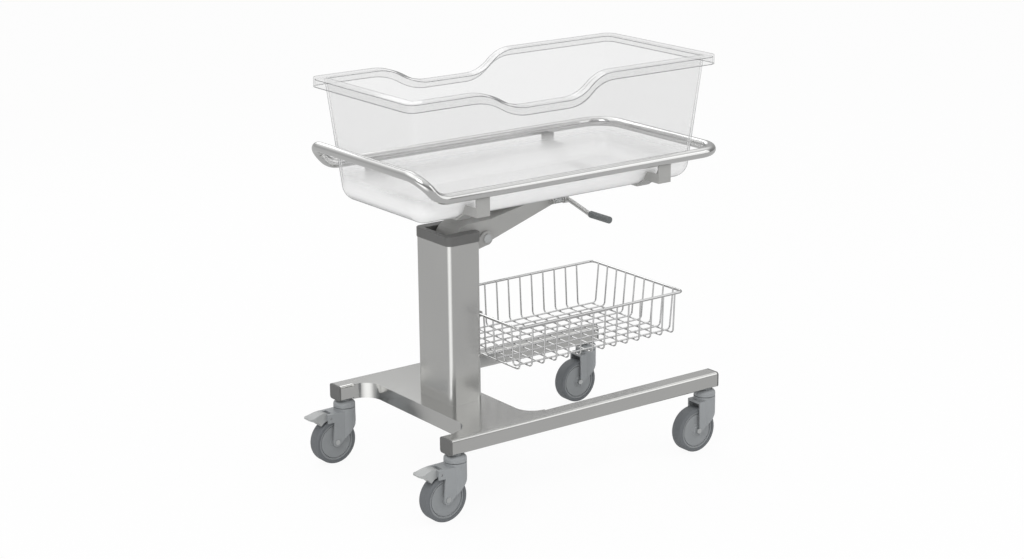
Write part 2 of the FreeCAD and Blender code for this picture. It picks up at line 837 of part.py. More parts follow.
def side_wire(x, side):
    top = V(x, side * (basket_half_width - wire_inset), wire_top_z)
    corner = V(x, side * side_floor_y, basket_floor_z)
    end = V(x, side * (side_floor_y - floor_joint), basket_floor_z)
    return rod_along([top, corner, end], [basket_wire_bend], basket_wire_radius)


def basket_side_wires(side):
    """One side's bent wires; the far side has none at the head end's corner."""
    places = side_wire_places() if side < 0 else side_wire_places()[:-1]
    return Part.makeCompound([side_wire(x, side) for x in places])


def basket_end_wires(top_x, corner_x, inward):
    wires = []
    for y in end_wire_places():
        points = [V(top_x, y, wire_top_z), V(corner_x, y, long_floor_z),
                  V(corner_x + inward * floor_joint, y, long_floor_z)]
        wires.append(rod_along(points, [basket_wire_bend], basket_wire_radius))
    return Part.makeCompound(wires)


def basket_floor_wires():
    half = side_floor_y - floor_joint
    wires = [cylinder(basket_wire_radius, V(x, -half, basket_floor_z), V(x, half, basket_floor_z))
             for x in side_wire_places()]
    wires += [cylinder(basket_wire_radius, V(foot_floor_x + floor_joint, y, long_floor_z),
                       V(head_floor_x - floor_joint, y, long_floor_z)) for y in end_wire_places()]
    return Part.makeCompound(wires)


def basket_hangers():
    """Two straps on the column: a saddle for the rim wire and a toe that the floor leans on."""
    face = column_head_face
    rim_under = basket_rim_z - basket_rim_radius - weld_gap
    saddle_low = rim_under - hanger_sheet
    back = basket_foot_x - basket_rim_radius - hanger_wire_gap
    front = basket_foot_x + basket_rim_radius + hanger_wire_gap
    toe_end = side_wire_first_x - basket_wire_radius - slide_gap
    toe_low = basket_floor_z - hanger_sheet
    toe_top = basket_floor_z + hanger_toe_rise
    outline = [(face, toe_low), (toe_end, toe_low), (toe_end, toe_top),
               (face + hanger_sheet, toe_top), (face + hanger_sheet, saddle_low),
               (front + hanger_sheet, saddle_low), (front + hanger_sheet, rim_under + hanger_lip),
               (front, rim_under + hanger_lip), (front, rim_under), (back, rim_under),
               (back, rim_under + hanger_lip), (back - hanger_sheet, rim_under + hanger_lip),
               (back - hanger_sheet, rim_under), (face, rim_under)]
    strap = prism_along_y(outline, hanger_y - hanger_width / 2, hanger_y + hanger_width / 2)
    return Part.makeCompound(both_sides(strap))


def hanger_screws():
    """Pan-head screws that hold the straps; their shanks pass through the column's wall."""
    screws = []
    seat = column_head_face + hanger_sheet
    for side in (-1, 1):
        for drop in screw_drops:
            z = basket_rim_z - drop
            head = cylinder(screw_head_radius, V(seat, side * hanger_y, z),
                            V(seat + screw_head_height, side * hanger_y, z))
            shank = cylinder(screw_radius, V(column_head_face - column_wall - screw_tip, side * hanger_y, z),
                             V(seat + over, side * hanger_y, z))
            screws.append(fuse([head, shank]))
    return screws


def screw_holes():
    start = column_head_face - column_wall - over
    end = column_head_face + hanger_sheet + over
    return [cylinder(screw_radius + running_fit, V(start, side * hanger_y, basket_rim_z - drop),
                     V(end, side * hanger_y, basket_rim_z - drop))
            for side in (-1, 1) for drop in screw_drops]


def drilled(shape):
    for hole in screw_holes():
        shape = shape.cut(hole)
    return shape


# ---- casters, made about the stem's axis with the wheel trailing to the foot end ----
def revolve_z(outline):
    face = Part.Face(Part.makePolygon([V(r, 0, z) for r, z in outline + [outline[0]]]))
    return face.revolve(V(0, 0, 0), V(0, 0, 1), 360)


def revolve_y(outline, x, z):
    """Turn (radius, y) points about the wheel's axis."""
    face = Part.Face(Part.makePolygon([V(x + r, y, z) for r, y in outline + [outline[0]]]))
    return face.revolve(V(x, 0, z), V(0, 1, 0), 360)


def caster_swivel_top():
    """The fixed cap: threaded stem above, bearing race and king pin with its head below."""
    side_top = swivel_bottom + swivel_side
    neck_low = bar_underside - swivel_neck
    turns = [step * quarter_turn / dome_steps for step in range(1, dome_steps + 1)]
    dome = [(swivel_radius - (swivel_radius - swivel_neck_radius) * (1 - math.cos(turn)),
             side_top + (neck_low - side_top) * math.sin(turn)) for turn in turns]
    race = swivel_radius - swivel_race_inset
    race_low = fork_top + slide_gap
    outline = [(0, race_low), (race, race_low), (race, swivel_bottom),
               (swivel_radius, swivel_bottom), (swivel_radius, side_top)] + dome
    outline += [(swivel_neck_radius, bar_underside), (stem_radius, bar_underside),
                (stem_radius, stem_top), (0, stem_top)]
    king_shoulder = crown_bottom - slide_gap
    king_low = king_shoulder - king_head_height
    king = [(0, swivel_bottom + over), (stem_radius, swivel_bottom + over), (stem_radius, king_shoulder),
            (king_head_radius, king_shoulder), (king_head_radius, king_low), (0, king_low)]
    return fuse([revolve_z(outline), revolve_z(king)])


def stem_nut():
    z = bar_underside + bar_wall
    turns = [side * 2 * math.pi / nut_sides for side in range(nut_sides)]
    points = [V(nut_radius * math.cos(turn), nut_radius * math.sin(turn), z) for turn in turns]
    nut = prism(points, V(0, 0, z), V(0, 0, z + nut_height))
    return nut.cut(cylinder(stem_radius + running_fit, V(0, 0, z - over), V(0, 0, z + nut_height + over)))


def fork_outline(braked):
    """The fork's cheeks from the side, down to a round end at the axle."""
    back = [(-fork_plain_back, fork_top), (-fork_plain_back, fork_plain_z)]
    if braked:
        back = [(-pedal_reach, fork_top), (-pedal_reach, fork_arm_low), (-fork_skirt_back, fork_arm_low)]
    axle_x = -caster_trail
    eye = [(axle_x + fork_eye_radius * math.cos(math.radians(angle)),
            wheel_radius + fork_eye_radius * math.sin(math.radians(angle)))
           for angle in range(180, eye_end_deg + 1, facet_deg)]
    return back + eye + [(fork_waist_x, fork_waist_z), (swivel_radius + over, fork_skirt_z),
                         (swivel_radius + over, fork_top)]


def caster_fork(braked):
    """The swivelling fork; the braked one's cheeks reach back to carry the pedal."""
    inner = fork_half_width - fork_leg
    reach = pedal_reach if braked else fork_plain_back
    cheek_top = fork_arm_top if braked else hood_top
    shell = cylinder(swivel_radius, V(0, 0, 0), V(0, 0, fork_top))
    cheeks = box(-reach, fork_chin_x, -fork_half_width, fork_half_width, 0, cheek_top)
    side_view = prism_along_y(fork_outline(braked), -swivel_radius, swivel_radius)
    body = fuse([shell, cheeks]).common(side_view)
    inside_x = swivel_radius - fork_back_wall
    body = body.cut(box(-pocket_reach, inside_x, -inner, inner, 0, pocket_top))
    if braked:
        gap = pedal_half_width + slide_gap
        pedal_end = -pedal_axis_back + pedal_root + pedal_root_gap
        body = body.cut(box(-reach - over, pedal_end, -gap, gap, 0, fork_top + over))
        body = body.cut(cylinder(pedal_pin_radius + running_fit,
                                 V(-pedal_axis_back, -swivel_radius, pedal_axis_z),
                                 V(-pedal_axis_back, swivel_radius, pedal_axis_z)))
    else:
        body = body.cut(box(-reach - over, -hood_inner, -inner, inner, 0, hood_bottom))
    king = cylinder(stem_radius + running_fit, V(0, 0, pocket_top - over), V(0, 0, fork_top + over))
    head_room = cylinder(king_head_radius + slide_gap, V(0, 0, pocket_top - over), V(0, 0, crown_bottom))
    axle = cylinder(axle_radius + press_gap, V(-caster_trail, -swivel_radius, wheel_radius),
                    V(-caster_trail, swivel_radius, wheel_radius))
    return body.cut(king).cut(head_room).cut(axle)


def wheel_hub():
    """A flat-faced hub with a ring groove near its rim and a boss round the bearing."""
    half = hub_width / 2
    rim = wheel_radius - tyre_depth
    groove_out = rim - hub_rim_depth
    groove_in = groove_out - hub_groove_width
    floor = half - hub_groove_depth
    face = half - hub_face_set
    boss = hub_boss_radius + hub_draft
    side = [(bearing_radius, half), (hub_boss_radius, half), (boss, face), (groove_in, face),
            (groove_in + hub_draft / 2, floor), (groove_out - hub_draft / 2, floor),
            (groove_out, half), (rim, half)]
    return revolve_y(side + [(r, -y) for r, y in reversed(side)], -caster_trail, wheel_radius)


def tyre():
    half = tyre_width / 2
    inner = wheel_radius - tyre_depth
    shoulder = [(wheel_radius - tyre_shoulder * (1 - math.cos(math.radians(angle))),
                 half - tyre_shoulder + tyre_shoulder * math.sin(math.radians(angle)))
                for angle in range(0, 91, facet_deg)]
    outline = [(inner, -half)] + [(r, -y) for r, y in reversed(shoulder)] + shoulder + [(inner, half)]
    return revolve_y(outline, -caster_trail, wheel_radius)


def wheel_bearings():
    """A flanged bearing in each face of the hub."""
    half = hub_width / 2
    outline = [(axle_radius + running_fit, half - bearing_width), (bearing_radius, half - bearing_width),
               (bearing_radius, half), (bearing_radius - bearing_lip, half + bearing_lip),
               (axle_radius + running_fit, half + bearing_lip)]
    return Part.makeCompound(both_sides(revolve_y(outline, -caster_trail, wheel_radius)))


def caster_axle():
    half = fork_half_width
    centre_x = -caster_trail
    shaft = cylinder(axle_radius, V(centre_x, -half, wheel_radius), V(centre_x, half, wheel_radius))
    heads = [cylinder(axle_head_radius, V(centre_x, side * half, wheel_radius),
                      V(centre_x, side * (half + axle_head_length), wheel_radius)) for side in (-1, 1)]
    return fuse([shaft] + heads)


def pedal_plan():
    """The pedal from above: narrow between the fork's cheeks, wider and rounded at the tip."""
    root = -pedal_axis_back + pedal_root
    neck = -pedal_reach - pedal_root_gap
    wide = -pedal_tip_back + pedal_tip_round + over
    half = pedal_half_width
    side = [(root, half), (neck, half), (wide, pedal_tip_half), (-pedal_tip_back, pedal_tip_half)]
    points = side + [(x, -y) for x, y in reversed(side)]
    plan = prism([V(x, y, 0) for x, y in points], V(0, 0, 0), V(0, 0, bar_underside))
    tip_edges = [edge for edge in plan.Edges
                 if edge.BoundBox.XMax < over - pedal_tip_back and edge.BoundBox.ZLength > over]
    return plan.makeFillet(pedal_tip_round, tip_edges)


def brake_pedal():
    """A rocker: its outer end is trodden down and its heel meets the tyre."""
    tip = pedal_tip_back - pedal_axis_back
    edge = ((tip, pedal_edge_rise), (tip, pedal_edge_rise - pedal_edge_thickness))
    outline = [(-pedal_axis_back - out, pedal_axis_z + rise)
               for out, rise in pedal_upper + edge + pedal_under]
    body = prism_along_y(outline, -pedal_tip_half, pedal_tip_half).common(pedal_plan())
    reach = pedal_half_width + pedal_lug
    lugs = cylinder(pedal_pin_radius, V(-pedal_axis_back, -reach, pedal_axis_z),
                    V(-pedal_axis_back, reach, pedal_axis_z))
    return fuse([body, lugs])


casters = {"foot_near": (-1, -1), "foot_far": (-1, 1), "head_near": (1, -1), "head_far": (1, 1)}


def caster_pieces():
    pieces = {}
    for name, (end, side) in casters.items():
        braked = end < 0
        made = {"swivel_top_" + name: caster_swivel_top(), "fork_" + name: caster_fork(braked),
                "wheel_hub_" + name: wheel_hub(), "tyre_" + name: tyre(),
                "wheel_bearings_" + name: wheel_bearings(), "axle_" + name: caster_axle()}
        if braked:
            made["brake_pedal_" + name] = brake_pedal()
        for node, shape in made.items():
            shape.translate(V(end * stem_x, side * bar_y, 0))
            pieces[node] = shape
    return pieces


def stem_nuts():
    nuts = []
    for end, side in casters.values():
        nut = stem_nut()
        nut.translate(V(end * stem_x, side * bar_y, 0))
        nuts.append(nut)
    return Part.makeCompound(nuts)


def all_pieces():
    pieces = {
        "base_frame": base_frame(),
        "bar_end_caps": bar_end_caps(),
        "column_tube": drilled(column_tube()),
        "column_cap": column_cap(),
        "pivot_ears": pivot_ears(),
        "pivot_pin": pivot_pin(),
        "pivot_bushes": pivot_bushes(),
        "tilt_arm": tilt_arm(),
        "spring_seat": spring_seat(),
        "gas_spring_cylinder": gas_spring_cylinder(),
        "gas_spring_rod": gas_spring_rod(),
        "rod_end": rod_end(),
        "cradle_beam": cradle_beam(),
        "cross_member_foot": cross_member(foot_member_x),
        "cross_member_head": cross_member(head_member_x),
        "rail_loop": rail_loop(),
        "push_handle": push_handle(),
        "tub": tub(),
        "lever_bracket": lever_bracket(),
        "release_lever": release_lever(),
        "lever_grip": lever_grip(),
        "lever_spring": lever_spring(),
        "basket_rim": basket_rim(),
        "basket_near_wires": basket_side_wires(-1),
        "basket_far_wires": basket_side_wires(1),
        "basket_head_wires": basket_end_wires(basket_head_x - wire_inset, head_floor_x, -1),
        "basket_foot_wires": basket_end_wires(basket_foot_x + wire_inset, foot_floor_x, 1),
        "basket_floor_wires": basket_floor_wires(),
        "basket_hangers": drilled(basket_hangers()),
        "hanger_screws": Part.makeCompound(hanger_screws()),
        "stem_nuts": stem_nuts(),
    }
    pieces.update(caster_pieces())
    return pieces


def write_parts():
    os.makedirs("parts", exist_ok=True)
    for name, shape in all_pieces().items():
        shape.translate(V(-middle_x, 0, 0))
        if not shape.isValid():
            print("not valid:", name)
        shape.exportStep("parts/" + name + ".step")


write_parts()
print("middle_x", round(middle_x, 3))
print("pivot", round(pivot_x - middle_x, 3), 0, round(pivot_z, 3))
print("lever axis", round(lever_x - middle_x, 3), round(lever_y, 3), round(lever_z, 3))
print("spring axis", round(spring_x - middle_x, 3), 0, "ratio", round(-(pivot_x - spring_x) / 1000, 5))
print("stems", round(stem_x - middle_x, 3), round(-stem_x - middle_x, 3), bar_y)
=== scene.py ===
"""Finishes for a wheeled hospital bassinet: clear tub, tube cradle, tilting arm, column, basket and casters.

Lengths are metres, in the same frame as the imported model: +X to the head end, +Z up from the floor.
"""
import json
import math

import bmesh
import bpy
from bpy.props import FloatProperty, FloatVectorProperty, PointerProperty
from mathutils import Matrix, Vector

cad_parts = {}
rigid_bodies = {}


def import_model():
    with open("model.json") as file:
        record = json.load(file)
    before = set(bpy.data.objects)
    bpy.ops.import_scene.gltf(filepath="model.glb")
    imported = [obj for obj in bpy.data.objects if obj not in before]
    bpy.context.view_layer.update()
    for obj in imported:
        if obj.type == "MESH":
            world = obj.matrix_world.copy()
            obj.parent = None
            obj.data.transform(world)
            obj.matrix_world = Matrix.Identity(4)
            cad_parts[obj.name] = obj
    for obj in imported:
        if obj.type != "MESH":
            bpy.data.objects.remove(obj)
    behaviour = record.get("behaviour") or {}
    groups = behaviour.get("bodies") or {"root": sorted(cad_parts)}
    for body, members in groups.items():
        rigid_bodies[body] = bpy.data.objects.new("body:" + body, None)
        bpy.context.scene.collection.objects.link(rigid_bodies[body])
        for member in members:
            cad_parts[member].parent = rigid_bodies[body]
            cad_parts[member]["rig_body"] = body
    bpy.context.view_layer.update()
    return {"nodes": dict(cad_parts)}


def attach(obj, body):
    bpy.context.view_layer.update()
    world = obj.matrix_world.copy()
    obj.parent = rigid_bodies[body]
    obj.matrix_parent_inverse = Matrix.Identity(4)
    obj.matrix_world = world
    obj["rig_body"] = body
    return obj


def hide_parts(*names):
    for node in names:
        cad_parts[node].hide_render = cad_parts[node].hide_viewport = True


bl_info = {
    "name": "Hospital Bassinet",
    "version": (1, 0, 0),
    "blender": (4, 5, 0),
    "location": "View3D > Sidebar > Bassinet",
    "description": "Builds the finished pieces of a hospital bassinet round its packed frame",
    "category": "Object",
}

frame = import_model()
NODES = frame["nodes"]
CASTERS = ("foot_near", "foot_far", "head_near", "head_far")
BRAKED = CASTERS[:2]
# Share of painted glow on the tub's rim: an emission, though the rim is no lamp.
RIM_PAINTED_GLOW = 0.8
SAME_POINT = 2e-6
FLAT_WITHIN = math.radians(0.5)
ROUNDED_FROM = math.radians(38)


def linear(hex_colour):
    """An sRGB hex value as linear red, green and blue."""
    channels = []
    for start in (1, 3, 5):
        value = int(hex_colour[start:start + 2], 16) / 255
        channels.append(value / 12.92 if value <= 0.04045 else ((value + 0.055) / 1.055) ** 2.4)
    return tuple(channels)


# ---- sizes and colours that a user would change ----
def size_property(name, description, default):
    return FloatProperty(name=name, description=description, default=default, min=0.0, unit="LENGTH",
                         precision=4)


def colour_property(name, description, hex_colour):
    return FloatVectorProperty(name=name, description=description, default=linear(hex_colour),
                               subtype="COLOR", min=0.0, max=1.0)


class BassinetSizes(bpy.types.PropertyGroup):
    sheet_edge: size_property("Sheet edge", "Rounding on the edges of folded steel", 0.0007)
    moulded_edge: size_property("Moulded edge", "Rounding on the edges of moulded plastic", 0.0010)
    # The grey line is painted shade along the tub's edges.
    tub_edge: size_property("Tub edge", "Width of the grey line along the clear tub's edges", 0.0036)
    tub_rim: size_property("Tub rim", "Width of the clear tub's rim", 0.0175)
    base_edge: size_property("Base edge", "Rounding on the edges of the base", 0.0014)


class BassinetColours(bpy.types.PropertyGroup):
    brushed_steel: colour_property("Brushed steel", "Column and base", "#D0D0CE")
    polished_steel: colour_property("Polished steel", "Rails, handle and lever", "#DADAD9")
    powder_coat: colour_property("Powder coat", "Arm, ears and cross members", "#A3A3A1")
    wire: colour_property("Basket wire", "Plated wire", "#C4C4C3")
    zinc: colour_property("Zinc", "Axles, screws and pins", "#D6D8D8")
    dark_plastic: colour_property("Dark plastic", "Column cap and bar end caps", "#696968")
    caster_plastic: colour_property("Caster plastic", "Forks and swivel tops", "#96999B")
    hub_plastic: colour_property("Hub plastic", "Wheel hubs", "#8F9294")
    tyre: colour_property("Tyre", "Rubber treads", "#6B6E71")
    pedal: colour_property("Pedal", "Brake pedals", "#A9ABAB")
    clear: colour_property("Clear plastic", "Tint of the tub", "#FAFAFA")
    # Painted shade: a grey drawn along the tub's edges where they turn from view.
    edge_painted_shade: colour_property("Clear edge", "The tub's edges, which gather less light", "#515456")
    grip: colour_property("Grip", "The lever's grip", "#686B6C")
    bronze: colour_property("Bronze", "Pivot bushes", "#A98B57")
    black: colour_property("Black paint", "Gas spring tube", "#262626")


# ---- materials ----
def add_node(tree, kind, inputs=None, **settings):
    """Adds a node, sets its fields, and fills or links its sockets; a link is written (node, output)."""
    node = tree.nodes.new(kind)
    for field, value in settings.items():
        setattr(node, field, value)
    for socket, value in (inputs or {}).items():
        if isinstance(value, tuple) and len(value) == 2 and isinstance(value[0], bpy.types.Node):
            tree.links.new(value[0].outputs[value[1]], node.inputs[socket])
        else:
            node.inputs[socket].default_value = value
    return node


def new_material(name):
    """An empty material with its output node."""
    material = bpy.data.materials.new(name)
    material.use_nodes = True
    material.node_tree.nodes.clear()
    return material, material.node_tree, add_node(material.node_tree, "ShaderNodeOutputMaterial")


def with_alpha(colour):
    return (*colour, 1.0)


def shaded(colour, factor):
    return tuple(min(1.0, channel * factor) for channel in colour)


def darker_to_lighter(colour, spread):
    """The two ends of a colour that wanders by that share, as a Mix node's sockets."""
    return {"A": with_alpha(shaded(colour, 1 - spread)), "B": with_alpha(shaded(colour, 1 + spread))}


def between(low, high, start=0.0, end=1.0):
    """A Map Range node's sockets: start becomes low and end becomes high, held beyond both."""
    return {"From Min": start, "From Max": end, "To Min": low, "To Max": high}


def grain(tree, size, roughness, detail=2.0):
    """Noise in real sizes: size is the pattern's size along X, Y and Z in metres."""
    coordinates = add_node(tree, "ShaderNodeTexCoord")
    scale = tuple(1.0 / length for length in size)
    mapping = add_node(tree, "ShaderNodeMapping", {"Vector": (coordinates, "Object"), "Scale": scale})
    return add_node(tree, "ShaderNodeTexNoise", {"Vector": (mapping, "Vector"), "Scale": 1.0,
                                                 "Detail": detail, "Roughness": roughness})


def brushed(name, colour, along, roughness):
    """Stainless steel drawn over an abrasive belt: fine straight lines that stretch its highlights.

    The belt's grit leaves lines of about 0.05 mm; they are drawn 0.6 mm apart so that they show.
    """
    line_spacing = 0.0006
    line_length = 0.09
    cloud = 0.16
    unevenness = 0.04
    material, tree, output = new_material(name)
    line_size = [line_spacing, line_spacing, line_spacing]
    line_size["XYZ".index(along)] = line_length
    lines = grain(tree, line_size, 0.6)
    clouds = grain(tree, (cloud, cloud, cloud), 0.5)
    tint = add_node(tree, "ShaderNodeMix", {"Factor": (clouds, "Fac"), **darker_to_lighter(colour, 0.05)},
                    data_type="RGBA")
    rough = add_node(tree, "ShaderNodeMapRange", {
        "Value": (lines, "Fac"), **between(roughness - unevenness, roughness + unevenness)})
    bump = add_node(tree, "ShaderNodeBump",
                    {"Height": (lines, "Fac"), "Strength": 0.025, "Distance": 0.0002})
    shader = add_node(tree, "ShaderNodeBsdfPrincipled",
                      {"Base Color": (tint, "Result"), "Metallic": 1.0, "Roughness": (rough, "Result"),
                       "Normal": (bump, "Normal")})
    tree.links.new(shader.outputs["BSDF"], output.inputs["Surface"])
    return material


def polished(name, colour, roughness):
    """Bright metal, buffed or plated: a mirror with faint wiping marks about 8 mm across."""
    mark = 0.008
    material, tree, output = new_material(name)
    marks = grain(tree, (mark, mark, mark), 0.6, 3.0)
    rough = add_node(tree, "ShaderNodeMapRange", {
        "Value": (marks, "Fac"), **between(roughness * 0.7, roughness * 1.3)})
    tint = add_node(tree, "ShaderNodeMix", {"Factor": (marks, "Fac"), **darker_to_lighter(colour, 0.03)},
                    data_type="RGBA")
    shader = add_node(tree, "ShaderNodeBsdfPrincipled",
                      {"Base Color": (tint, "Result"), "Metallic": 1.0, "Roughness": (rough, "Result")})
    tree.links.new(shader.outputs["BSDF"], output.inputs["Surface"])
    return material


def moulded(name, colour, roughness, pit):
    """Moulded plastic or baked coating: an even colour over the fine orange peel of its surface.

    pit is the texture's size in metres, drawn three to seven times its real 0.2 mm so that it shows.
    """
    cloud = 0.03
    unevenness = 0.06
    material, tree, output = new_material(name)
    texture = grain(tree, (pit, pit, pit), 0.5)
    clouds = grain(tree, (cloud, cloud, cloud), 0.5)
    tint = add_node(tree, "ShaderNodeMix", {"Factor": (clouds, "Fac"), **darker_to_lighter(colour, 0.04)},
                    data_type="RGBA")
    rough = add_node(tree, "ShaderNodeMapRange", {
        "Value": (texture, "Fac"), **between(roughness - unevenness, roughness + unevenness)})
    bump = add_node(tree, "ShaderNodeBump",
                    {"Height": (texture, "Fac"), "Strength": 0.12, "Distance": 0.0002})
    shader = add_node(tree, "ShaderNodeBsdfPrincipled",
                      {"Base Color": (tint, "Result"), "Roughness": (rough, "Result"), "IOR": 1.46,
                       "Normal": (bump, "Normal")})
    tree.links.new(shader.outputs["BSDF"], output.inputs["Surface"])
    return material


def edge_lines(tree, width):
    """Where painted shade goes: 1 along the sheet's edges that turn out of sight, and less along its lower
    edges.
    """
    sharp_match = 0.84
    flat_match = 0.995
    turned_away_at = -0.1
    in_sight_at = 0.15
    lower_share = 0.25
    surface = add_node(tree, "ShaderNodeNewGeometry")
    rounded = add_node(tree, "ShaderNodeBevel", {"Radius": width}, samples=8)
    # Near an edge the rounded direction no longer matches the face's own.
    match = add_node(tree, "ShaderNodeVectorMath", {0: (surface, "Normal"), 1: (rounded, "Normal")},
                     operation="DOT_PRODUCT")
    near_edge = add_node(tree, "ShaderNodeMapRange", {
        "Value": (match, "Value"), **between(1.0, 0.0, sharp_match, flat_match)})
    # A face seen from its back gives a direction into the sheet, so it is turned round.
    side = add_node(tree, "ShaderNodeMapRange", {"Value": (surface, "Backfacing"), **between(1.0, -1.0)})
    outward = add_node(tree, "ShaderNodeVectorMath", {0: (rounded, "Normal"), "Scale": (side, "Result")},
                       operation="SCALE")
    toward_eye = add_node(tree, "ShaderNodeVectorMath", {0: (outward, "Vector"), 1: (surface, "Incoming")},
                          operation="DOT_PRODUCT")
    turned_away = add_node(tree, "ShaderNodeMapRange", {
        "Value": (toward_eye, "Value"), **between(1.0, 0.0, turned_away_at, in_sight_at)})
    height = add_node(tree, "ShaderNodeSeparateXYZ", {"Vector": (outward, "Vector")})
    lower = add_node(tree, "ShaderNodeMapRange", {
        "Value": (height, "Z"), **between(lower_share, 0.0, -0.5, -0.2)})
    share = add_node(tree, "ShaderNodeMath", {0: (turned_away, "Result"), 1: (lower, "Result")},
                     operation="MAXIMUM")
    return add_node(tree, "ShaderNodeMath", {0: (near_edge, "Result"), 1: (share, "Value")},
                    operation="MULTIPLY")


def curved_edges(tree, facing):
    """How far a curved wall turns out of sight, up to 0.6, as a share of painted shade. Level faces take no
    part.
    """
    turning_from = 0.66
    turned_at = 0.9
    surface = add_node(tree, "ShaderNodeNewGeometry")
    height = add_node(tree, "ShaderNodeSeparateXYZ", {"Vector": (surface, "Normal")})
    level = add_node(tree, "ShaderNodeMath", {0: (height, "Z")}, operation="ABSOLUTE")
    not_level = add_node(tree, "ShaderNodeMapRange", {
        "Value": (level, "Value"), **between(1.0, 0.0, 0.965, 0.99)})
    turning = add_node(tree, "ShaderNodeMapRange", {
        "Value": facing, **between(0.0, 0.6, turning_from, turned_at)})
    return add_node(tree, "ShaderNodeMath", {0: (turning, "Result"), 1: (not_level, "Result")},
                    operation="MULTIPLY")


def clear_acrylic(name, colours, edge_width, glow):
    """Vacuum-formed clear acrylic. Its two faces bend light back again, so it is drawn straight through.

    Seen at a slant and near its floor the sheet turns milky, and painted shade draws its edges as fine grey
    lines.
    glow is the share of painted glow on the rim: an emission, though the rim is no lamp.
    Shadow and diffuse rays pass, because the thin sheet hardly shades what it covers.
    """
    clear_milk = 0.05
    slanted_milk = 0.5
    floor_milk = 0.75
    # The milk's lower zone ends between these shares of the tub's height.
    low_zone = (0.10, 0.25)
    # Strongest share of the painted shade along the edges.
    painted_shade_strength = 0.95
    material, tree, output = new_material(name)
    handling = grain(tree, (0.05, 0.05, 0.05), 0.5)
    rough = add_node(tree, "ShaderNodeMapRange", {"Value": (handling, "Fac"), **between(0.02, 0.06)})
    slant = add_node(tree, "ShaderNodeLayerWeight", {"Blend": 0.5})
    facing = (slant, "Facing")
    tint = with_alpha(colours.clear)
    passing = add_node(tree, "ShaderNodeBsdfTransparent", {"Color": tint})
    scattered = add_node(tree, "ShaderNodeBsdfDiffuse", {"Color": tint})
    # Painted glow: an emission that brightens the rim, though the rim is no lamp.
    painted_glow = add_node(tree, "ShaderNodeEmission", {"Color": tint, "Strength": 1.0})
    # On the rim the milk mixes in the painted glow at the share glow.
    milk = add_node(tree, "ShaderNodeMixShader", {0: glow, 1: (scattered, "BSDF"), 2: (painted_glow, "Emission")})
    slanted = add_node(tree, "ShaderNodeMapRange", {
        "Value": facing, **between(clear_milk, slanted_milk, 0.5, 0.70)})
    place = add_node(tree, "ShaderNodeTexCoord")
    height = add_node(tree, "ShaderNodeSeparateXYZ", {"Vector": (place, "Generated")})
    low = add_node(tree, "ShaderNodeMapRange", {
        "Value": (height, "Z"), **between(floor_milk, 0.0, *low_zone)})
    milkiness = add_node(tree, "ShaderNodeMath", {0: (slanted, "Result"), 1: (low, "Result")},
                         operation="MAXIMUM")
    sheet = add_node(tree, "ShaderNodeMixShader",
                     {0: (milkiness, "Value"), 1: (passing, "BSDF"), 2: (milk, "Shader")})
    gloss = add_node(tree, "ShaderNodeBsdfGlossy", {"Color": tint, "Roughness": (rough, "Result")})
    # A clear sheet mirrors little when faced and much at a slant.
    steep = add_node(tree, "ShaderNodeMath", {0: facing, 1: 5.0}, operation="POWER")
    mirror = add_node(tree, "ShaderNodeMapRange", {"Value": (steep, "Value"), **between(0.02, 0.5)})
    coated = add_node(tree, "ShaderNodeMixShader",
                      {0: (mirror, "Result"), 1: (sheet, "Shader"), 2: (gloss, "BSDF")})
    # Painted shade: a grey diffuse drawn along the edges where the sheet turns from view.
    grey = add_node(tree, "ShaderNodeBsdfDiffuse", {"Color": with_alpha(colours.edge_painted_shade)})
    sharp = edge_lines(tree, edge_width)
    curved = curved_edges(tree, facing)
    line = add_node(tree, "ShaderNodeMath", {0: (sharp, "Value"), 1: (curved, "Value")}, operation="MAXIMUM")
    share = add_node(tree, "ShaderNodeMapRange", {"Value": (line, "Value"), **between(0.0, painted_shade_strength)})
    edged = add_node(tree, "ShaderNodeMixShader",
                     {0: (share, "Result"), 1: (coated, "Shader"), 2: (grey, "BSDF")})
    shade = add_node(tree, "ShaderNodeBsdfTransparent", {"Color": (0.96, 0.96, 0.96, 1.0)})
    path = add_node(tree, "ShaderNodeLightPath")
    unseen = add_node(tree, "ShaderNodeMath", {0: (path, "Is Shadow Ray"), 1: (path, "Is Diffuse Ray")},
                      operation="MAXIMUM")
    mix = add_node(tree, "ShaderNodeMixShader",
                   {0: (unseen, "Value"), 1: (edged, "Shader"), 2: (shade, "BSDF")})
    tree.links.new(mix.outputs["Shader"], output.inputs["Surface"])
    return material


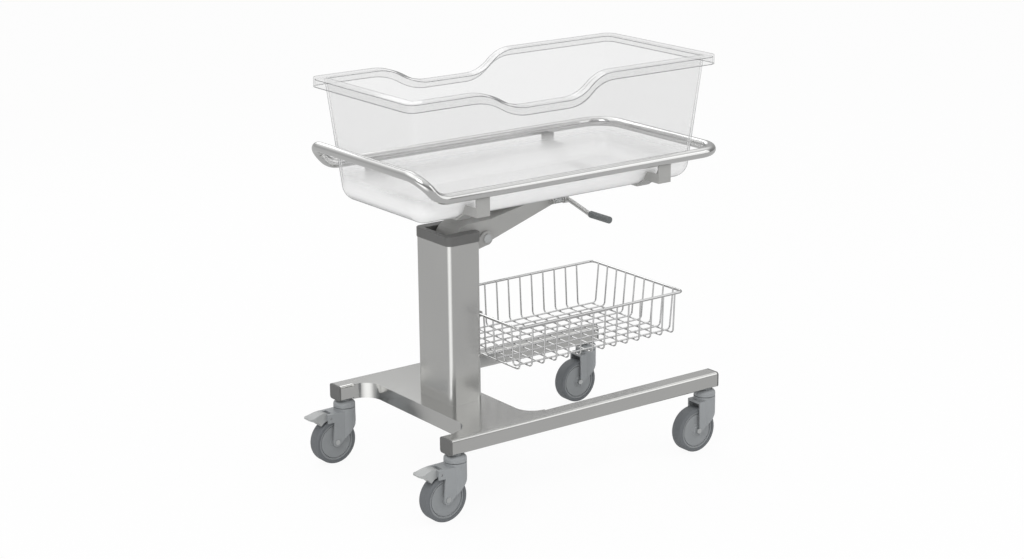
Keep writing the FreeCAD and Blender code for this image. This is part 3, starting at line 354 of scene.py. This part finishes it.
def finish_material(name):
    """The material of that name, made the first time it is asked for."""
    if name in bpy.data.materials:
        return bpy.data.materials[name]
    colours = bpy.context.scene.bassinet_colours
    sizes = bpy.context.scene.bassinet_sizes
    makers = {
        # Belt-brushed sheet: streaked highlights across the lines.
        "brushed_stainless_upright": lambda n: brushed(n, colours.brushed_steel, "Z", 0.24),
        "brushed_stainless_long": lambda n: brushed(n, colours.brushed_steel, "X", 0.17),
        # Baked powder: a soft sheen over fine orange peel.
        "satin_powder_coat": lambda n: moulded(n, colours.powder_coat, 0.36, 0.0007),
        # Buffed or plated: sharp to soft mirrors.
        "polished_stainless_tube": lambda n: polished(n, colours.polished_steel, 0.10),
        "chromed_wire": lambda n: polished(n, colours.wire, 0.17),
        "bright_zinc": lambda n: polished(n, colours.zinc, 0.22),
        "sintered_bronze": lambda n: polished(n, colours.bronze, 0.35),
        # Sprayed and moulded skins: dull highlights, coarser on rubber and on the fluted grip.
        "black_painted_tube": lambda n: moulded(n, colours.black, 0.35, 0.0008),
        "moulded_dark_abs": lambda n: moulded(n, colours.dark_plastic, 0.5, 0.0006),
        "moulded_grey_nylon": lambda n: moulded(n, colours.caster_plastic, 0.42, 0.0006),
        "moulded_hub_polypropylene": lambda n: moulded(n, colours.hub_plastic, 0.45, 0.0006),
        "thermoplastic_rubber_tread": lambda n: moulded(n, colours.tyre, 0.62, 0.0008),
        "moulded_pale_nylon": lambda n: moulded(n, colours.pedal, 0.36, 0.0006),
        "moulded_fluted_grip": lambda n: moulded(n, colours.grip, 0.4, 0.0014),
        # Tumbled plating on the axles: a broad soft highlight.
        "satin_zinc": lambda n: polished(n, colours.zinc, 0.4),
        # Clear sheet, and its rim, with a painted glow: an emission, though the rim is no lamp.
        "clear_acrylic_sheet": lambda n: clear_acrylic(n, colours, sizes.tub_edge, 0.0),
        "clear_acrylic_rim": lambda n: clear_acrylic(n, colours, sizes.tub_edge, RIM_PAINTED_GLOW),
    }
    return makers[name](name)


# ---- making pieces ----
def paint(piece, material_name):
    piece.data.materials.clear()
    piece.data.materials.append(finish_material(material_name))
    return piece


def keep(nodes, material_name):
    """CAD nodes whose shape is right, with a better finish."""
    for node in nodes:
        piece = NODES[node]
        paint(piece, material_name)
        smooth_by_angle(piece.data)


def smooth_by_angle(mesh, degrees=32.0):
    mesh.shade_smooth()
    mesh.set_sharp_from_angle(angle=math.radians(degrees))


def add_piece(name, mesh, body, material_name):
    piece = bpy.data.objects.new(name, mesh)
    bpy.context.scene.collection.objects.link(piece)
    paint(piece, material_name)
    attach(piece, body)
    return piece


def mesh_from(name, shape):
    mesh = bpy.data.meshes.new(name)
    shape.to_mesh(mesh)
    shape.free()
    return mesh


def body_of(node):
    return NODES[node]["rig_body"]


def soften(node, edge, material_name, segments=2):
    """A copy of a CAD node with its sharp edges rounded, shown in the node's place."""
    shape = bmesh.new()
    shape.from_mesh(NODES[node].data)
    bmesh.ops.remove_doubles(shape, verts=shape.verts, dist=SAME_POINT)
    bmesh.ops.dissolve_limit(shape, angle_limit=FLAT_WITHIN, verts=shape.verts, edges=shape.edges)
    piece = add_piece(node + "_finished", mesh_from(node + "_finished", shape), body_of(node),
                      material_name)
    rounding = piece.modifiers.new("Rounded edges", "BEVEL")
    rounding.width = edge
    rounding.segments = segments
    rounding.limit_method = "ANGLE"
    rounding.angle_limit = ROUNDED_FROM
    smooth_by_angle(piece.data)
    flat_faces = piece.modifiers.new("Flat faces stay flat", "WEIGHTED_NORMAL")
    flat_faces.keep_sharp = True
    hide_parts(node)
    return piece


# ---- operators ----
class BASSINET_OT_stage(bpy.types.Operator):
    """Makes the floor, the light and the camera"""

    bl_idname = "bassinet.stage"
    bl_label = "Stage"

    floor_half = 12.0
    paper_colour = "#F2F2F2"
    paper_fibre = 0.004
    floor_glow = 0.93
    diffuse_light = 0.80
    mirrored_floor = 0.56
    # The mirrored floor is brighter behind the camera's left shoulder, between these two alignments.
    bright_corner = (0.81, 0.59, 0.0)
    corner_gain = 2.6
    corner_alignment = (0.72, 0.95)
    mirrored_ceiling = 1.5
    # The mirrored ceiling is brighter on the far side; the near side has this share of its light.
    bright_side = (-0.45, 0.9, 0.0)
    dim_share = 0.55
    side_alignment = (-0.5, 0.4)
    # (height of a mirrored direction, its share of the ceiling's light)
    ceiling_bands = ((0.0, 0.30), (0.30, 0.34), (0.45, 0.50), (0.58, 0.80), (0.75, 1.0), (1.0, 1.0))
    camera_place = (-2.670994, -3.650614, 1.701507)
    camera_azimuth = -36.053
    camera_elevation = 16.024
    camera_roll = -0.556
    camera_lens = 76.51
    camera_sensor = 36.0
    camera_reach = 60.0
    # (name, place, what it points at, size, watts)
    lamps = (("key", (-1.9, -1.7, 2.6), (0.0, 0.0, 0.5), 1.6, 26.0),
             ("fill", (2.4, -2.2, 1.7), (0.0, 0.0, 0.45), 2.2, 14.0),
             ("back", (0.6, 2.6, 2.4), (0.0, 0.0, 0.6), 2.0, 14.0))

    def execute(self, context):
        scene = context.scene
        scene.view_settings.view_transform = "Standard"
        self.make_floor()
        self.make_world(scene)
        for lamp in self.lamps:
            self.add_lamp(*lamp)
        self.make_camera(scene)
        return {"FINISHED"}

    def make_floor(self):
        shape = bmesh.new()
        bmesh.ops.create_grid(shape, x_segments=1, y_segments=1, size=self.floor_half)
        floor = bpy.data.objects.new("studio_floor", mesh_from("studio_floor", shape))
        bpy.context.scene.collection.objects.link(floor)
        material, tree, output = new_material("white_studio_paper")
        fibre = self.paper_fibre
        fibres = grain(tree, (fibre, fibre, fibre), 0.5)
        tint = add_node(tree, "ShaderNodeMix", {
            "Factor": (fibres, "Fac"), **darker_to_lighter(linear(self.paper_colour), 0.01)},
            data_type="RGBA")
        paper = add_node(tree, "ShaderNodeBsdfDiffuse", {"Color": (tint, "Result")})
        glow = add_node(tree, "ShaderNodeEmission", {"Color": (1.0, 1.0, 1.0, 1.0), "Strength": 1.0})
        path = add_node(tree, "ShaderNodeLightPath")
        seen = add_node(tree, "ShaderNodeMath", {
            0: (path, "Is Camera Ray"), 1: (path, "Is Transmission Ray")}, operation="MAXIMUM")
        share = add_node(tree, "ShaderNodeMath", {0: (seen, "Value"), 1: self.floor_glow},
                         operation="MULTIPLY")
        lit = add_node(tree, "ShaderNodeMixShader",
                       {0: (share, "Value"), 1: (paper, "BSDF"), 2: (glow, "Emission")})
        surface = add_node(tree, "ShaderNodeNewGeometry")
        corner = add_node(tree, "ShaderNodeVectorMath", {0: (surface, "Incoming"), 1: self.bright_corner},
                          operation="DOT_PRODUCT")
        bright = self.mirrored_floor * self.corner_gain
        strength = add_node(tree, "ShaderNodeMapRange", {
            "Value": (corner, "Value"), **between(self.mirrored_floor, bright, *self.corner_alignment)})
        mirrored = add_node(tree, "ShaderNodeEmission", {"Color": (1.0, 1.0, 1.0, 1.0),
                                                         "Strength": (strength, "Result")})
        mix = add_node(tree, "ShaderNodeMixShader",
                       {0: (path, "Is Glossy Ray"), 1: (lit, "Shader"), 2: (mirrored, "Emission")})
        tree.links.new(mix.outputs["Shader"], output.inputs["Surface"])
        floor.data.materials.append(material)

    def make_world(self, scene):
        """White to the camera. Reflections see a bright ceiling over a greyer horizon, as in a studio."""
        world = bpy.data.worlds.new("studio_air")
        world.use_nodes = True
        tree = world.node_tree
        tree.nodes.clear()
        path = add_node(tree, "ShaderNodeLightPath")
        seen = add_node(tree, "ShaderNodeMath", {
            0: (path, "Is Camera Ray"), 1: (path, "Is Transmission Ray")}, operation="MAXIMUM")
        plain = add_node(tree, "ShaderNodeMapRange", {
            "Value": (seen, "Value"), **between(self.diffuse_light, 1.0)})
        view = add_node(tree, "ShaderNodeTexCoord")
        height = add_node(tree, "ShaderNodeSeparateXYZ", {"Vector": (view, "Generated")})
        bands = add_node(tree, "ShaderNodeValToRGB", {"Fac": (height, "Z")})
        stops = bands.color_ramp.elements
        while len(stops) < len(self.ceiling_bands):
            stops.new(1.0)
        for stop, (place, share) in zip(stops, self.ceiling_bands):
            stop.position = place
            stop.color = (share, share, share, 1.0)
        side = add_node(tree, "ShaderNodeVectorMath", {0: (view, "Generated"), 1: self.bright_side},
                        operation="DOT_PRODUCT")
        dim = self.mirrored_ceiling * self.dim_share
        ceiling = add_node(tree, "ShaderNodeMapRange", {
            "Value": (side, "Value"), **between(dim, self.mirrored_ceiling, *self.side_alignment)})
        mirrored = add_node(tree, "ShaderNodeMath", {0: (bands, "Color"), 1: (ceiling, "Result")},
                            operation="MULTIPLY")
        strength = add_node(tree, "ShaderNodeMix", {
            "Factor": (path, "Is Glossy Ray"), "A": (plain, "Result"), "B": (mirrored, "Value")},
            data_type="FLOAT")
        light = add_node(tree, "ShaderNodeBackground", {"Color": (1.0, 1.0, 1.0, 1.0),
                                                        "Strength": (strength, "Result")})
        output = add_node(tree, "ShaderNodeOutputWorld")
        tree.links.new(light.outputs["Background"], output.inputs["Surface"])
        scene.world = world

    def add_lamp(self, name, place, target, size, power):
        lamp = bpy.data.lights.new(name, "AREA")
        lamp.shape = "SQUARE"
        lamp.size = size
        lamp.energy = power
        holder = bpy.data.objects.new(name, lamp)
        holder.location = place
        holder.rotation_mode = "QUATERNION"
        holder.rotation_quaternion = (Vector(target) - Vector(place)).to_track_quat("-Z", "Y")
        bpy.context.scene.collection.objects.link(holder)

    def make_camera(self, scene):
        azimuth = math.radians(self.camera_azimuth)
        elevation = math.radians(self.camera_elevation)
        roll = math.radians(self.camera_roll)
        back = Vector((math.sin(azimuth) * math.cos(elevation), -math.cos(azimuth) * math.cos(elevation),
                       math.sin(elevation)))
        right = Vector((math.cos(azimuth), math.sin(azimuth), 0.0))
        up = back.cross(right)
        turned_right = right * math.cos(roll) + up * math.sin(roll)
        turned_up = up * math.cos(roll) - right * math.sin(roll)
        data = bpy.data.cameras.new("camera")
        data.lens = self.camera_lens
        data.sensor_width = self.camera_sensor
        data.clip_end = self.camera_reach
        camera = bpy.data.objects.new("camera", data)
        axes = Matrix((turned_right, turned_up, back)).transposed()
        camera.matrix_world = Matrix.Translation(self.camera_place) @ axes.to_4x4()
        scene.collection.objects.link(camera)
        scene.camera = camera


class BASSINET_OT_steelwork(bpy.types.Operator):
    """Finishes the base, the column and its pivot ears"""

    bl_idname = "bassinet.steelwork"
    bl_label = "Base and column"

    def execute(self, context):
        sizes = context.scene.bassinet_sizes
        soften("base_frame", sizes.base_edge, "brushed_stainless_long", segments=3)
        soften("column_tube", sizes.sheet_edge, "brushed_stainless_upright")
        soften("pivot_ears", sizes.sheet_edge, "satin_powder_coat")
        soften("column_cap", sizes.moulded_edge, "moulded_dark_abs")
        keep(["bar_end_caps"], "moulded_dark_abs")
        keep(["pivot_pin", "stem_nuts", "hanger_screws"], "bright_zinc")
        return {"FINISHED"}


class BASSINET_OT_cradle(bpy.types.Operator):
    """Finishes the tilting arm, the cross members, the rails and the push handle"""

    bl_idname = "bassinet.cradle"
    bl_label = "Cradle"

    def execute(self, context):
        sizes = context.scene.bassinet_sizes
        keep(["tilt_arm"], "satin_powder_coat")
        for node in ("cradle_beam", "cross_member_foot", "cross_member_head", "lever_bracket"):
            soften(node, sizes.sheet_edge, "satin_powder_coat")
        keep(["rail_loop", "push_handle"], "polished_stainless_tube")
        keep(["pivot_bushes"], "sintered_bronze")
        keep(["lever_spring"], "bright_zinc")
        return {"FINISHED"}


class BASSINET_OT_gas_spring(bpy.types.Operator):
    """Finishes the gas spring inside the column"""

    bl_idname = "bassinet.gas_spring"
    bl_label = "Gas spring"

    def execute(self, context):
        keep(["gas_spring_cylinder"], "black_painted_tube")
        keep(["gas_spring_rod", "rod_end"], "bright_zinc")
        keep(["spring_seat"], "satin_powder_coat")
        return {"FINISHED"}


class BASSINET_OT_tub(bpy.types.Operator):
    """Finishes the clear tub"""

    bl_idname = "bassinet.tub"
    bl_label = "Tub"

    def execute(self, context):
        keep(["tub"], "clear_acrylic_sheet")
        mesh = NODES["tub"].data
        mesh.materials.append(finish_material("clear_acrylic_rim"))
        rim = context.scene.bassinet_sizes.tub_rim
        # Faces within the rim's width of the shell's outer sides get the rim's finish.
        sides = [[function(vertex.co[axis] for vertex in mesh.vertices) for function in (min, max)]
                 for axis in (0, 1)]
        for face in mesh.polygons:
            inset = min(abs(face.center[axis] - side) for axis in (0, 1) for side in sides[axis])
            face.material_index = int(inset < rim)
        return {"FINISHED"}


class BASSINET_OT_lever(bpy.types.Operator):
    """Finishes the release lever"""

    bl_idname = "bassinet.lever"
    bl_label = "Release lever"

    def execute(self, context):
        keep(["release_lever"], "polished_stainless_tube")
        keep(["lever_grip"], "moulded_fluted_grip")
        return {"FINISHED"}


class BASSINET_OT_basket(bpy.types.Operator):
    """Finishes the wire basket and its hangers"""

    bl_idname = "bassinet.basket"
    bl_label = "Basket"

    def execute(self, context):
        keep(["basket_rim", "basket_near_wires", "basket_far_wires", "basket_head_wires",
              "basket_foot_wires", "basket_floor_wires"], "chromed_wire")
        soften("basket_hangers", context.scene.bassinet_sizes.sheet_edge, "satin_powder_coat")
        return {"FINISHED"}


class BASSINET_OT_casters(bpy.types.Operator):
    """Finishes the four casters"""

    bl_idname = "bassinet.casters"
    bl_label = "Casters"

    def execute(self, context):
        sizes = context.scene.bassinet_sizes
        for name in CASTERS:
            soften("fork_" + name, sizes.moulded_edge, "moulded_grey_nylon")
            keep(["swivel_top_" + name], "moulded_grey_nylon")
            keep(["wheel_hub_" + name], "moulded_hub_polypropylene")
            keep(["tyre_" + name], "thermoplastic_rubber_tread")
            keep(["wheel_bearings_" + name], "moulded_grey_nylon")
            keep(["axle_" + name], "satin_zinc")
        for name in BRAKED:
            soften("brake_pedal_" + name, sizes.moulded_edge, "moulded_pale_nylon")
        return {"FINISHED"}


class BASSINET_PT_panel(bpy.types.Panel):
    """Lists the steps and the values"""

    bl_idname = "BASSINET_PT_panel"
    bl_label = "Hospital Bassinet"
    bl_space_type = "VIEW_3D"
    bl_region_type = "UI"
    bl_category = "Bassinet"

    def draw(self, context):
        column = self.layout.column()
        for step in STEPS:
            column.operator(step.bl_idname)
        for group in (context.scene.bassinet_sizes, context.scene.bassinet_colours):
            for name in group.bl_rna.properties.keys():
                if name not in ("rna_type", "name"):
                    column.prop(group, name)


STEPS = (BASSINET_OT_stage, BASSINET_OT_steelwork, BASSINET_OT_cradle, BASSINET_OT_gas_spring,
         BASSINET_OT_tub, BASSINET_OT_lever, BASSINET_OT_basket, BASSINET_OT_casters)
CLASSES = (BassinetSizes, BassinetColours, *STEPS, BASSINET_PT_panel)


def register():
    for item in CLASSES:
        bpy.utils.register_class(item)
    bpy.types.Scene.bassinet_sizes = PointerProperty(type=BassinetSizes)
    bpy.types.Scene.bassinet_colours = PointerProperty(type=BassinetColours)


def unregister():
    del bpy.types.Scene.bassinet_colours
    del bpy.types.Scene.bassinet_sizes
    for item in reversed(CLASSES):
        bpy.utils.unregister_class(item)


def main():
    register()
    for step in STEPS:
        area, name = step.bl_idname.split(".")
        getattr(getattr(bpy.ops, area), name)()


if __name__ == "__main__":
    main()
